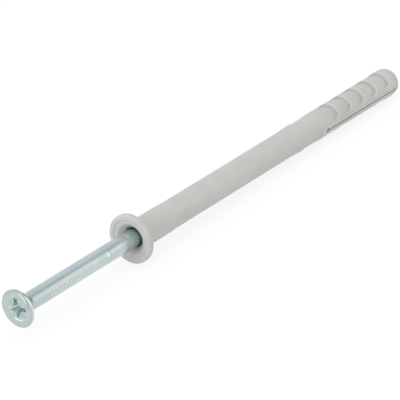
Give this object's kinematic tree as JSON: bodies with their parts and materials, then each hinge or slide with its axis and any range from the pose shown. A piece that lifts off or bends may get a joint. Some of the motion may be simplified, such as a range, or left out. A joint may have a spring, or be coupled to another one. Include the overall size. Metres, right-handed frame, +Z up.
{
  "type": "hammer fixing plug",
  "caption": "Long split plastic wall plug with a round collar and saw-tooth pockets, with a countersunk zinc-plated drive nail standing part of the way out of it.",
  "frame": {"origin": "middle of the footprint, on the surface that the plug lies on", "axes": "+X towards the sleeve's tip, +Z up; the plug's own axis dips 1.43 degrees towards the tip, because it lies on the collar's edge and on the last crest"},
  "size_m": [0.1656, 0.0142, 0.0142],
  "materials": {
    "grey_plastic": "satin moulded polyamide",
    "zinc_steel": "bright zinc plating"
  },
  "bodies": {
    "sleeve_body": {"sleeve": "grey_plastic"},
    "nail_body": {"drive_nail": "zinc_steel"}
  },
  "joints": [
    {"name": "nail_drive", "type": "slide", "parent": "sleeve_body", "child": "nail_body", "axis": [0.9997, 0, -0.025], "range_m": [0, 0.0438]}
  ]
}
